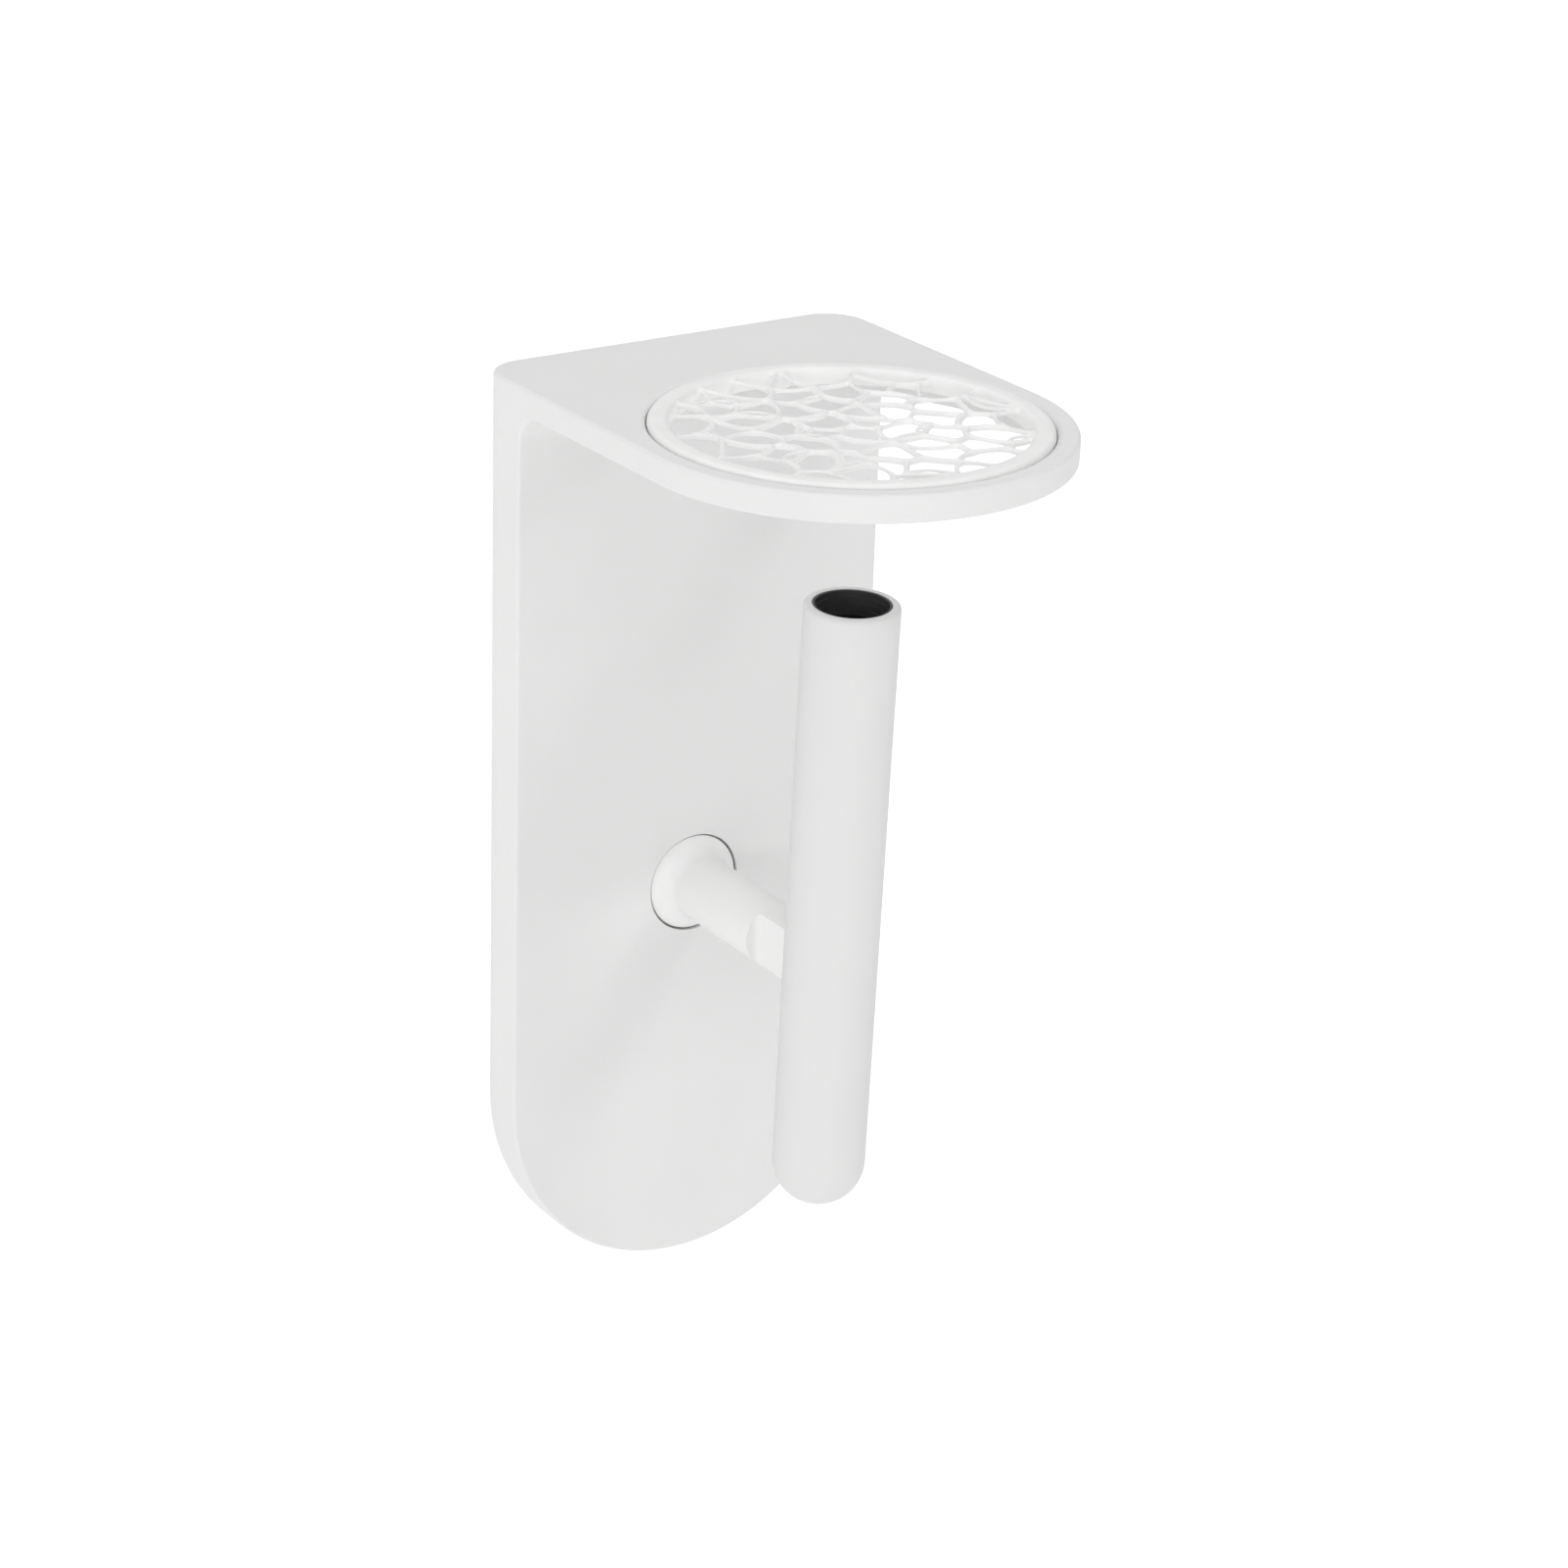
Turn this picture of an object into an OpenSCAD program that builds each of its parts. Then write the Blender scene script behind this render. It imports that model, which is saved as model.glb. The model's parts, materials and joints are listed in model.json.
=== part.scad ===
// Wall light with a pivoting spot tube under an openwork shadow disc.
// Frame: the wall is the plane Y = 0 and the light stands out towards -Y.
// +X is to the right seen from the room, +Z is up.
// The origin is the point of the wall face on the arm's swivel axis.

/* [Body] */
// Width of the body, and the diameter of its round nose and round foot
body_w = 130; // [126:1:136]
// Height from the foot to the shelf's top face
body_h = 300; // [290:1:330]
// Depth of the upright plate
plate_t = 24; // [23:0.5:28]
// Distance from the wall to the shared axis of nose, disc and tube
reach = 99; // [95:1:110]
// Thickness of the shelf
shelf_t = 8.2; // [7.5:0.1:10]
// Radius of the long edges next to the wall
wall_edge_r = 13; // [8:1:14]
// Radius of every other outer edge
edge_r = 1.1; // [0.8:0.1:2]
// Radius of the hollow corner between plate and shelf
corner_r = 10; // [6:1:14]
// Height of the swivel axis above the foot
arm_height = 129; // [120:1:136]

/* [Openwork disc] */
// Outer radius of the disc's rim
disc_r = 58.2; // [56:0.1:58.6]
// Width of the rim
rim_w = 6.4; // [5:0.1:7]
// How far the rim stands above the shelf
rim_proud = 0.8; // [0:0.1:2]
// Thickness of the net
net_t = 2; // [1.5:0.1:3]
// Width of a strand of the net
strand_w = 2.4; // [1.4:0.1:2.8]
// Number of openings in the net
net_cells = 58; // [30:1:70]
// Play between the rim and the wall of its seat
seat_play = 0.3; // [0.3:0.1:1]

/* [Arm] */
// Radius of the arm's round foot
arm_foot_r = 15.4; // [14:0.1:17]
// Radius of the arm's shaft
arm_r = 10.1; // [9:0.1:11]
// Thickness of the flat tongue at the arm's end
tongue_w = 11.5; // [10:0.5:14]
// Largest swivel of the arm either way, in degrees
swivel_limit = 165; // [140:1:165]

/* [Spot tube] */
// Outer radius of the tube
tube_r = 14.25; // [14:0.05:15.5]
// Wall of the tube
tube_wall = 2.5; // [2:0.1:2.5]
// Height of the mouth above the pivot, along the tube
mouth_up = 118; // [112:1:124]
// Depth of the round bottom's centre below the pivot
bottom_down = 64; // [50:1:80]
// Forward lean of the tube as it stands
lean = 1.9; // [0:0.1:4]
// Largest tilt of the tube either way, in degrees
tilt_limit = 15; // [5:1:15]

/* [Hidden] */
$fn = 96;
eps = 0.01;
fit = 0.05;      // radial play of a running fit, and of a screw in its thread
face_gap = 0.1;  // play between faces that turn on each other

// Body
half_w = body_w / 2;
top_z = body_h - arm_height;
foot_z = -arm_height;
foot_centre_z = foot_z + half_w;
shelf_z = top_z - shelf_t;
front_wall = 3;
side_wall = 3;
top_wall = 3.8;
cavity_half = half_w - wall_edge_r - side_wall;
cavity_depth = plate_t - front_wall;
cavity_top = shelf_z - top_wall;

// Seat of the disc
seat_r = disc_r + seat_play;
seat_depth = 2.4;
seat_ledge = 3.8;
collar_down = 4.5; // how far the rim's inner collar reaches below the shelf's top
opening_r = disc_r - seat_ledge;
lip_r = 1.5;
rim_round = 1.6;
net_r = disc_r - rim_w;
net_up = 0.2;    // top of the net above the shelf
net_inset = 0.5; // openings stop this far inside the rim
net_z = top_z + net_up - net_t;

// Wall plate
steel_t = 2;
plate_play = 0.5;
plate_half = cavity_half - plate_play;
plate_drop = 2;
plate_top = cavity_top - plate_drop;
hole_x = 30;
hole_low_z = -60;
hole_high_z = 146;
hole_r = 2.75;
entry_x = -26;
entry_z = 66;
entry_r = 6;
cable_r = 4;
hook_x = 14;
hook_w = 12;
hook_y = 7;
hook_up = 5;
hook_play = 0.5;
tab_half = 10;
tab_deep = 16;
tab_up = 5;
tab_z = foot_centre_z - cavity_half + tab_up;
lock_y = 9;
lock_r = 2;
lock_in = 1;     // how far the lock screw's end lies inside the foot
lock_over = 3;   // how far its tip passes the tab
lock_hex_r = 1.15;
lock_hex_deep = 3;

// Arm bearing
foot_gap = 0.7;
boss_r = 24;
boss_y = 15;
stem_r = 9;
stem_end_y = 7;
bush_r = 11;
bush_flange_r = 14;
bush_flange_y = 13.6;
thrust_t = 0.6;
washer_y = [12.4, 13.5];
wave_y = [11.1, 12.3];
nut_y = [7.4, 11];
nut_r = 14;
nut_slot = 3;
lug_reach = 19;
pin_in = 3;      // how far the stop pin goes into the boss
pin_end_y = 11.6;
stop_at_r = 17.2;
stop_r = 1.5;
stop_play = 1.5; // degrees between the joint's limit and the pin
lug_half_angle = 180 - swivel_limit - asin(stop_r / stop_at_r) - stop_play;
lug_w = 2 * stop_at_r * sin(lug_half_angle);

// Arm
flare_r = 7;
foot_sunk = 0.7; // edge of the foot below the plate's face
foot_face_y = plate_t - foot_sunk;
flat_wall_y = 68.8; // where the flats of the tongue begin, square to the shaft
flat_fillet = 2;
eye_r = 9;
lead_bore_r = 3;
lead_r = 1.5;
lead_bend = 4;
lead_in = 3;     // how far the lead goes into the driver
lead_gap = 0.4;  // between the ends of two leads
lead_plane_y = 4.9;
lead_up_y = reach - 10;
pivot_r = 2.5;

// Tube
bore_r = tube_r - tube_wall;
core_r = bore_r - fit;
side_gap = 0.3;  // tongue to the slot's sides
end_gap = 0.5;   // tongue to the slot's ends at full tilt
slot_half_w = tongue_w / 2 + side_gap;
turn = lean + tilt_limit;
slot_half_h = tube_r * tan(turn) + arm_r / cos(turn) + end_gap;
mouth_round = 1.1;
washer_t = 0.8;
tilt_gap = 0.4;
block_end = 4.4;
cheek_x = tongue_w / 2 + washer_t + 2 * fit;
pocket_half_h = bore_r * tan(turn) + arm_r / cos(turn) + tilt_gap;
block_half = pocket_half_h + block_end;
pocket_front = eye_r + tilt_gap;
pivot_head_r = 4;
pivot_head_t = 1.5;
pivot_hex_r = 1.5;
pivot_hex_deep = 1;
washer_r = 7.5;
mouth_to_baffle = 0.2;
mouth_to_lens = 8.6;
baffle_top = mouth_up - mouth_to_baffle;
lens_top = mouth_up - mouth_to_lens;
lens_h = 12;
lens_flange_t = 2;
lens_seat = 0.8; // lens above the board
holder_wall = 1.2;
seal_r = 0.55;
board_t = 1.6;
board_z = lens_top - lens_h - board_t;
board_screw_x = 6.5;
board_screw_r = 1;
sink_fins = 12;
sink_core_r = 8.6;
sink_slot = 1.8;
sink_end = 7;
lead_off = 6.4;
lead_hole_r = lead_r + 0.3;

// Driver and terminals
driver_x = [-6, 36];
driver_z = [40, 132];
driver_y = 17.5;
driver_foot_x = 18;
driver_screw_x = 27;
input_x = [0, 6];
input_y = 8.5;
terminal_x = [-40, -12];
terminal_z = [98, 124];
terminal_t = 13;
terminal_hole_r = 2;
terminal_screw_r = 2.2;
terminal_screw_in = 6;
screw_r = 1.5;      // M3
screw_tip_y = 0.2;  // gap left between a screw's tip and the wall's plate face
driver_foot_t = 2.5;
driver_foot = 7;    // how far the driver's feet reach past its ends

white = [0.93, 0.93, 0.92];
steel = [0.72, 0.73, 0.75];

// ---------------------------------------------------------------- helpers

// Half of the plate's level section: x from the mid-plane out, y from the wall out.
module plate_half_section(w, r_wall, r_front, t) {
    square([w - r_wall, t]);
    translate([0, r_wall]) square([w - r_front, t - r_wall]);
    translate([0, r_wall]) square([w, t - r_wall - r_front]);
    translate([w - r_wall, r_wall]) intersection() {
        circle(r_wall);
        translate([0, -r_wall]) square(r_wall);
    }
    translate([w - r_front, t - r_front]) circle(r_front);
}

// Half of a slab's upright section, rounded at its outer edges.
module slab_half_section(w) {
    square([w - edge_r, shelf_t]);
    translate([0, edge_r]) square([w, shelf_t - 2 * edge_r]);
    for (y = [edge_r, shelf_t - edge_r])
        translate([w - edge_r, y]) circle(edge_r);
}

module mirrored_x() {
    children();
    mirror([1, 0, 0]) children();
}

// A bar along -Y, from y0 to y1 behind the room-side of the wall.
module along_y(y0, y1, r) {
    translate([0, -y0, 0]) rotate([90, 0, 0]) cylinder(r = r, h = y1 - y0);
}

module ring_y(y0, y1, r_in, r_out) {
    difference() {
        along_y(y0, y1, r_out);
        along_y(y0 - 1, y1 + 1, r_in);
    }
}

module ring_z(z0, z1, r_in, r_out) {
    translate([0, 0, z0]) difference() {
        cylinder(r = r_out, h = z1 - z0);
        translate([0, 0, -1]) cylinder(r = r_in, h = z1 - z0 + 2);
    }
}

// A block given by its two x, depth and z limits, depth counted from the wall.
module block(x, y, z) {
    translate([x[0], -y[1], z[0]]) cube([x[1] - x[0], y[1] - y[0], z[1] - z[0]]);
}

// An M3 pan-head screw into the wall plate: seat_y is the face under its head.
module pan_screw(x, z, seat_y) {
    head_t = 1.65;
    head_r = 2.85;
    hex_r = 1.2;
    translate([x, 0, z]) {
        difference() {
            along_y(seat_y, seat_y + head_t, head_r);
            along_y(seat_y + head_t / 2, seat_y + head_t + 1, hex_r, $fn = 6);
        }
        along_y(steel_t + screw_tip_y, seat_y + head_t / 2, screw_r);
    }
}

// The tube's own frame: origin at the pivot, +Z along the tube.
module in_tube() {
    translate([0, -reach, 0]) rotate([lean, 0, 0]) children();
}

// ---------------------------------------------------------------- net of the disc

golden = 137.508;
wobble = 0.4;

// A repeatable value from 0 to 1 for each whole number.
function scatter(i, k) = let (s = sin(i * 47.3 + k * 71.9) * 917.13) s - floor(s);

// Centres of the openings: a sunflower head, each point pushed off its place.
function net_seed(i) =
    let (pitch = net_r * sqrt(PI / net_cells),
         r = net_r * sqrt((i + 0.5) / net_cells),
         a = i * golden)
    [r * cos(a) + pitch * wobble * (2 * scatter(i, 1) - 1),
     r * sin(a) + pitch * wobble * (2 * scatter(i, 2) - 1)];

seeds = [for (i = [0 : net_cells - 1]) net_seed(i)];

// The part of an outline on the near side of a line with normal n at distance d.
function clipped(outline, n, d) =
    let (c = len(outline))
    [for (i = [0 : c - 1])
        let (a = outline[i], b = outline[(i + 1) % c], sa = n * a - d, sb = n * b - d)
        each concat(sa <= 0 ? [a] : [], sa * sb < 0 ? [a + (b - a) * sa / (sa - sb)] : [])];

// One opening: all that is nearer to seed i than to any other, less half a strand.
function opening(i, k, outline) =
    k == net_cells || len(outline) < 3 ? outline
    : k == i ? opening(i, k + 1, outline)
    : let (v = seeds[k] - seeds[i], n = v / norm(v))
      opening(i, k + 1, clipped(outline, n, n * (seeds[k] + seeds[i]) / 2 - strand_w / 2));

// An outline with each corner cut back to a quarter of its sides.
function rounded(outline) =
    let (c = len(outline))
    [for (i = [0 : c - 1])
        let (a = outline[i], b = outline[(i + 1) % c])
        each [a * 0.75 + b * 0.25, a * 0.25 + b * 0.75]];

rim_sides = 40;
rim_step = 360 / rim_sides;
net_edge = [for (i = [0 : rim_sides - 1])
    (net_r - net_inset) * [cos(i * rim_step), sin(i * rim_step)]];

module net_outline() {
    difference() {
        circle(net_r + 1);
        for (i = [0 : net_cells - 1]) {
            hole = opening(i, 0, net_edge);
            if (len(hole) > 2) polygon(rounded(hole));
        }
    }
}

// ---------------------------------------------------------------- body

module body_solid() {
    // upright plate
    translate([0, 0, foot_centre_z])
        linear_extrude(shelf_z + edge_r - foot_centre_z)
            mirrored_x() mirror([0, 1, 0]) plate_half_section(half_w, wall_edge_r, edge_r, plate_t);
    translate([0, 0, foot_centre_z]) rotate([90, 0, 0]) rotate([0, 0, 180])
        rotate_extrude(angle = 180) plate_half_section(half_w, wall_edge_r, edge_r, plate_t);
    // shelf
    translate([0, -reach, shelf_z]) rotate([0, 0, 180])
        rotate_extrude(angle = 180) slab_half_section(half_w);
    translate([0, -wall_edge_r, shelf_z]) rotate([90, 0, 0])
        linear_extrude(reach - wall_edge_r) mirrored_x() slab_half_section(half_w);
    mirrored_x()
        translate([half_w - wall_edge_r, -wall_edge_r, shelf_z])
            rotate_extrude(angle = 90) slab_half_section(wall_edge_r);
    translate([wall_edge_r - half_w, -wall_edge_r, shelf_z]) rotate([90, 0, 90])
        linear_extrude(body_w - 2 * wall_edge_r) slab_half_section(wall_edge_r);
    corner_fillet();
}

// The hollow corner: a block less a bobbin whose ends flare like the outer edges.
module corner_fillet() {
    difference() {
        translate([-half_w, -plate_t - corner_r, shelf_z - corner_r])
            cube([body_w, corner_r + edge_r, corner_r + edge_r]);
        translate([-half_w, -plate_t - corner_r, shelf_z - corner_r]) rotate([0, 90, 0])
            rotate_extrude() bobbin_section();
    }
}

module bobbin_section() {
    square([corner_r, body_w]);
    for (side = [0, 1])
        translate([0, side * body_w]) mirror([0, side])
            difference() {
                square([corner_r + edge_r, edge_r]);
                translate([corner_r + edge_r, edge_r]) circle(edge_r);
            }
}

module cavity() {
    translate([-cavity_half, -cavity_depth, foot_centre_z])
        cube([2 * cavity_half, cavity_depth + 1, cavity_top - foot_centre_z]);
    translate([0, 0, foot_centre_z]) along_y(-1, cavity_depth, cavity_half);
}

module disc_seat() {
    translate([0, -reach, 0]) {
        translate([0, 0, shelf_z - 1]) cylinder(r = opening_r, h = shelf_t + 2);
        translate([0, 0, top_z - seat_depth]) cylinder(r = seat_r, h = seat_depth + 1);
        translate([0, 0, top_z - lip_r]) rotate_extrude() difference() {
            square([seat_r + lip_r, lip_r + 1]);
            translate([seat_r + lip_r, 0]) circle(lip_r);
        }
    }
}

module body_shell() {
    color(white) difference() {
        union() {
            difference() {
                body_solid();
                cavity();
            }
            along_y(boss_y, cavity_depth + 1, boss_r);
        }
        disc_seat();
        along_y(boss_y - 1, plate_t + 1, bush_r);
        along_y(cavity_depth, plate_t + 1, arm_foot_r + foot_gap);
        translate([0, 0, -stop_at_r]) along_y(boss_y - 1, boss_y + pin_in, stop_r + fit);
        for (x = [-hook_x, hook_x])
            block([x - hook_w / 2 - hook_play, x + hook_w / 2 + hook_play],
                  [hook_y - hook_play, hook_y + steel_t + hook_play],
                  [cavity_top - 1, cavity_top + hook_up + hook_play]);
        translate([0, -lock_y, foot_z - 1]) cylinder(r = lock_r + fit, h = half_w);
    }
}

module wall_plate() {
    color(steel) {
        difference() {
            union() {
                block([-plate_half, plate_half], [0, steel_t], [foot_centre_z, plate_top]);
                translate([0, 0, foot_centre_z]) along_y(0, steel_t, plate_half);
            }
            for (x = [-hole_x, hole_x], z = [hole_low_z, hole_high_z])
                translate([x, 0, z]) along_y(-1, steel_t + 1, hole_r);
            translate([entry_x, 0, entry_z]) along_y(-1, steel_t + 1, entry_r);
        }
        for (x = [-hook_x, hook_x]) {
            span = [x - hook_w / 2, x + hook_w / 2];
            hook_z = plate_top - 2 * steel_t;
            block(span, [steel_t - eps, hook_y + steel_t], [hook_z, hook_z + steel_t]);
            block(span, [hook_y, hook_y + steel_t], [hook_z, cavity_top + hook_up]);
        }
        difference() {
            block([-tab_half, tab_half], [steel_t - eps, tab_deep], [tab_z, tab_z + steel_t]);
            translate([0, -lock_y, tab_z - 1]) cylinder(r = lock_r + 0.3, h = steel_t + 2);
        }
    }
}

module lock_screw() {
    color(steel) translate([0, -lock_y, 0]) difference() {
        translate([0, 0, foot_z + lock_in])
            cylinder(r = lock_r, h = tab_z + steel_t + lock_over - foot_z - lock_in);
        translate([0, 0, foot_z]) cylinder(r = lock_hex_r, h = lock_in + lock_hex_deep, $fn = 6);
    }
}

// ---------------------------------------------------------------- electrical parts on the wall plate

module cable_grommet() {
    collar_t = 1.6;
    collar_w = 2;
    wall_gap = 0.3;
    color("dimgray") translate([entry_x, 0, entry_z]) difference() {
        union() {
            along_y(wall_gap, steel_t, entry_r - fit);
            along_y(steel_t, steel_t + collar_t, entry_r + collar_w);
        }
        along_y(-1, steel_t + collar_t + 1, cable_r);
    }
}

clamp_z = entry_z + 14;
clamp_half = 10;
clamp_y = [steel_t + 6, steel_t + 9];
clamp_hole_x = 7.5;
clamp_half_w = 4;
clamp_foot_r = 2.5;

module strain_clamp() {
    color("whitesmoke") difference() {
        union() {
            translate([entry_x, 0, clamp_z])
                block([-clamp_half, clamp_half], clamp_y, [-clamp_half_w, clamp_half_w]);
            for (s = [-1, 1])
                translate([entry_x + s * clamp_hole_x, 0, clamp_z])
                    along_y(steel_t, clamp_y[0] + eps, clamp_foot_r);
        }
        for (s = [-1, 1])
            translate([entry_x + s * clamp_hole_x, 0, clamp_z])
                along_y(steel_t - 1, clamp_y[1] + 1, screw_r + fit);
    }
}

module clamp_screws() {
    color(steel) for (s = [-1, 1])
        pan_screw(entry_x + s * clamp_hole_x, clamp_z, clamp_y[1]);
}

poles = 3;
pole_pitch = (terminal_x[1] - terminal_x[0]) / poles;

module terminal_block() {
    color("whitesmoke") difference() {
        block(terminal_x, [steel_t, steel_t + terminal_t], terminal_z);
        for (i = [0 : poles - 1]) {
            x = terminal_x[0] + pole_pitch * (i + 0.5);
            translate([x, -steel_t - terminal_t / 2, terminal_z[0] - 1])
                cylinder(r = terminal_hole_r, h = terminal_z[1] - terminal_z[0] + 2);
            for (z = [terminal_z[0] + terminal_screw_in, terminal_z[1] - terminal_screw_in])
                translate([x, 0, z])
                    along_y(steel_t + terminal_t / 2, steel_t + terminal_t + 1, terminal_screw_r);
        }
    }
}

// Two insulated wires, each an arch from a terminal pole to the driver's top.
wire_r = 0.9;
wire_bend = 4;
terminal_in = 4; // how far a wire goes into its pole
driver_in = 3;   // how far it goes into the driver
live_rise = 6.5;
neutral_rise = 3;

module wire_arch(x0, x1, rise) {
    straight_z = driver_z[1] + rise;
    from_z = terminal_z[1] - terminal_in;
    to_z = driver_z[1] - driver_in;
    translate([0, -input_y, 0]) {
        translate([x0, 0, from_z]) cylinder(r = wire_r, h = straight_z - from_z + eps, $fn = 24);
        translate([x1, 0, to_z]) cylinder(r = wire_r, h = straight_z - to_z + eps, $fn = 24);
        translate([x0 + wire_bend, 0, straight_z]) rotate([90, 0, 0]) rotate([0, 0, 90])
            rotate_extrude(angle = 90) translate([wire_bend, 0]) circle(wire_r, $fn = 24);
        translate([x1 - wire_bend, 0, straight_z]) rotate([90, 0, 0])
            rotate_extrude(angle = 90) translate([wire_bend, 0]) circle(wire_r, $fn = 24);
        translate([x0 + wire_bend - eps, 0, straight_z + wire_bend]) rotate([0, 90, 0])
            cylinder(r = wire_r, h = x1 - x0 - 2 * (wire_bend - eps), $fn = 24);
    }
}

live_x = terminal_x[0] + pole_pitch * 1.5;

module live_wire() {
    color("sienna") wire_arch(live_x, input_x[1], live_rise);
}

module neutral_wire() {
    color("steelblue") wire_arch(live_x + pole_pitch, input_x[0], neutral_rise);
}

driver_screw_z = [driver_z[0] - driver_foot / 2, driver_z[1] + driver_foot / 2];

module led_driver() {
    color("whitesmoke") difference() {
        union() {
            block(driver_x, [steel_t, driver_y], driver_z);
            block([driver_foot_x, driver_x[1]], [steel_t, steel_t + driver_foot_t],
                  [driver_z[0] - driver_foot, driver_z[1] + driver_foot]);
        }
        for (z = driver_screw_z)
            translate([driver_screw_x, 0, z])
                along_y(steel_t - 1, steel_t + driver_foot_t + 1, screw_r + fit);
        for (x = input_x)
            translate([x, -input_y, driver_z[1] - driver_in - 1])
                cylinder(r = wire_r + fit, h = driver_in + 2);
        translate([0, -lead_plane_y, driver_z[0] - 1]) cylinder(r = lead_r + fit, h = lead_in + 2);
    }
}

module driver_screws() {
    color(steel) for (z = driver_screw_z)
        pan_screw(driver_screw_x, z, steel_t + driver_foot_t);
}

// A quarter bend of a lead in the plane X = 0, from start degrees round to start + 90.
module lead_turn(start) {
    rotate([90, 0, 90]) rotate([0, 0, start])
        rotate_extrude(angle = 90) translate([lead_bend, 0]) circle(lead_r, $fn = 32);
}

// The lead from the driver down to the hollow stem of the arm, where it turns onto the swivel axis.
module driver_lead() {
    color("white") {
        translate([0, -lead_plane_y, lead_bend])
            cylinder(r = lead_r, h = driver_z[0] + lead_in - lead_bend, $fn = 32);
        translate([0, -lead_plane_y - lead_bend, lead_bend]) lead_turn(-90);
    }
}

// ---------------------------------------------------------------- arm bearing

module arm_bush() {
    color("dimgray") difference() {
        union() {
            along_y(boss_y - eps, cavity_depth, bush_r - fit);
            along_y(bush_flange_y, boss_y, bush_flange_r);
        }
        along_y(bush_flange_y - 1, cavity_depth + 1, stem_r + fit);
    }
}

module thrust_washer() {
    color("ivory") ring_y(cavity_depth, cavity_depth + thrust_t, stem_r + 0.3, arm_foot_r - 1);
}

module stop_pin() {
    color(steel) translate([0, 0, -stop_at_r]) along_y(pin_end_y, boss_y + pin_in, stop_r);
}

// ---------------------------------------------------------------- arm

module arm_outline() {
    foot_y = cavity_depth + thrust_t + face_gap;
    flare_end = foot_face_y + sqrt(pow(flare_r, 2) - pow(arm_r + flare_r - arm_foot_r, 2));
    along_y(foot_y, foot_face_y, arm_foot_r);
    along_y(stem_end_y, foot_y + eps, stem_r);
    // trumpet-shaped flare
    translate([0, -foot_face_y, 0]) rotate([90, 0, 0]) rotate_extrude() difference() {
        square([arm_foot_r, flare_end - foot_face_y]);
        translate([arm_r + flare_r, flare_end - foot_face_y]) circle(flare_r);
    }
    along_y(foot_face_y, reach - tube_r + 1, arm_r);
    // tongue inside the tube, with its round eye
    intersection() {
        along_y(reach - tube_r, reach + eye_r + 1, arm_r);
        union() {
            block([-arm_r, arm_r], [reach - tube_r, reach], [-eye_r, eye_r]);
            translate([-arm_r, -reach, 0]) rotate([0, 90, 0]) cylinder(r = eye_r, h = 2 * arm_r);
        }
    }
}

// What the cutter takes off one side of the tongue, with a fillet along its wall.
module flat_cut() {
    x = tongue_w / 2;
    y = flat_wall_y;
    to_y = reach + eye_r + 1;
    up = [-arm_r - 1, arm_r + 1];
    block([x, arm_r + 1], [y + flat_fillet, to_y], up);
    block([x + flat_fillet, arm_r + 1], [y, to_y], up);
    translate([x + flat_fillet, -y - flat_fillet, up[0]]) cylinder(r = flat_fillet, h = up[1] - up[0]);
}

module arm() {
    color(white) difference() {
        arm_outline();
        mirrored_x() flat_cut();
        along_y(stem_end_y - 1, lead_up_y, lead_bore_r);
        translate([0, -lead_up_y, 0]) cylinder(r = lead_bore_r, h = arm_r + 1);
        translate([-arm_r, -reach, 0]) rotate([0, 90, 0]) cylinder(r = pivot_r + fit, h = 2 * arm_r);
    }
}

module stop_washer() {
    color(steel) difference() {
        union() {
            along_y(washer_y[0], washer_y[1], nut_r);
            block([-lug_w / 2, lug_w / 2], washer_y, [nut_r - 2, lug_reach]);
        }
        along_y(washer_y[0] - 1, washer_y[1] + 1, stem_r + fit);
    }
}

module wave_washer() {
    color("lightsteelblue") ring_y(wave_y[0], wave_y[1], stem_r + fit, nut_r - 1);
}

module arm_nut() {
    color(steel) difference() {
        along_y(nut_y[0], nut_y[1], nut_r);
        along_y(nut_y[0] - 1, nut_y[1] + 1, stem_r + fit);
        for (a = [0 : 90 : 270])
            rotate([0, a, 0])
            block([-nut_slot / 2, nut_slot / 2], [nut_y[0] - 1, nut_y[1] + 1], [nut_r - 2, nut_r + 1]);
    }
}

module arm_lead() {
    color("white") {
        along_y(lead_plane_y + lead_bend + lead_gap, lead_up_y - lead_bend, lead_r, $fn = 32);
        translate([0, -lead_up_y + lead_bend, lead_bend]) lead_turn(180);
        translate([0, -lead_up_y, lead_bend])
            cylinder(r = lead_r, h = eye_r - lead_bend - lead_gap, $fn = 32);
    }
}

// ---------------------------------------------------------------- spot tube and what it holds

module spot_tube() {
    color(white) in_tube() difference() {
        union() {
            translate([0, 0, -bottom_down]) cylinder(r = tube_r, h = bottom_down + mouth_up - mouth_round);
            translate([0, 0, -bottom_down]) sphere(tube_r);
            translate([0, 0, mouth_up - mouth_round - eps]) rotate_extrude() {
                square([tube_r - mouth_round, mouth_round + eps]);
                translate([tube_r - mouth_round, 0]) circle(mouth_round);
            }
        }
        translate([0, 0, -bottom_down]) cylinder(r = bore_r, h = bottom_down + mouth_up + 1);
        translate([0, 0, -bottom_down]) sphere(bore_r);
        translate([-slot_half_w, 0, -slot_half_h]) cube([2 * slot_half_w, tube_r + 1, 2 * slot_half_h]);
        rotate([0, 90, 0]) cylinder(r = pivot_head_r + fit, h = tube_r + 1);
    }
}

module tilt_block() {
    color(steel) in_tube() difference() {
        translate([0, 0, -block_half]) cylinder(r = core_r, h = 2 * block_half);
        translate([-cheek_x, -pocket_front, -pocket_half_h])
            cube([2 * cheek_x, pocket_front + bore_r, 2 * pocket_half_h]);
        rotate([0, 90, 0]) translate([0, 0, -core_r - 1]) cylinder(r = pivot_r + fit, h = 2 * core_r + 2);
        translate([0, lead_off, 0]) cylinder(r = lead_bore_r, h = block_half + 1);
    }
}

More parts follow.
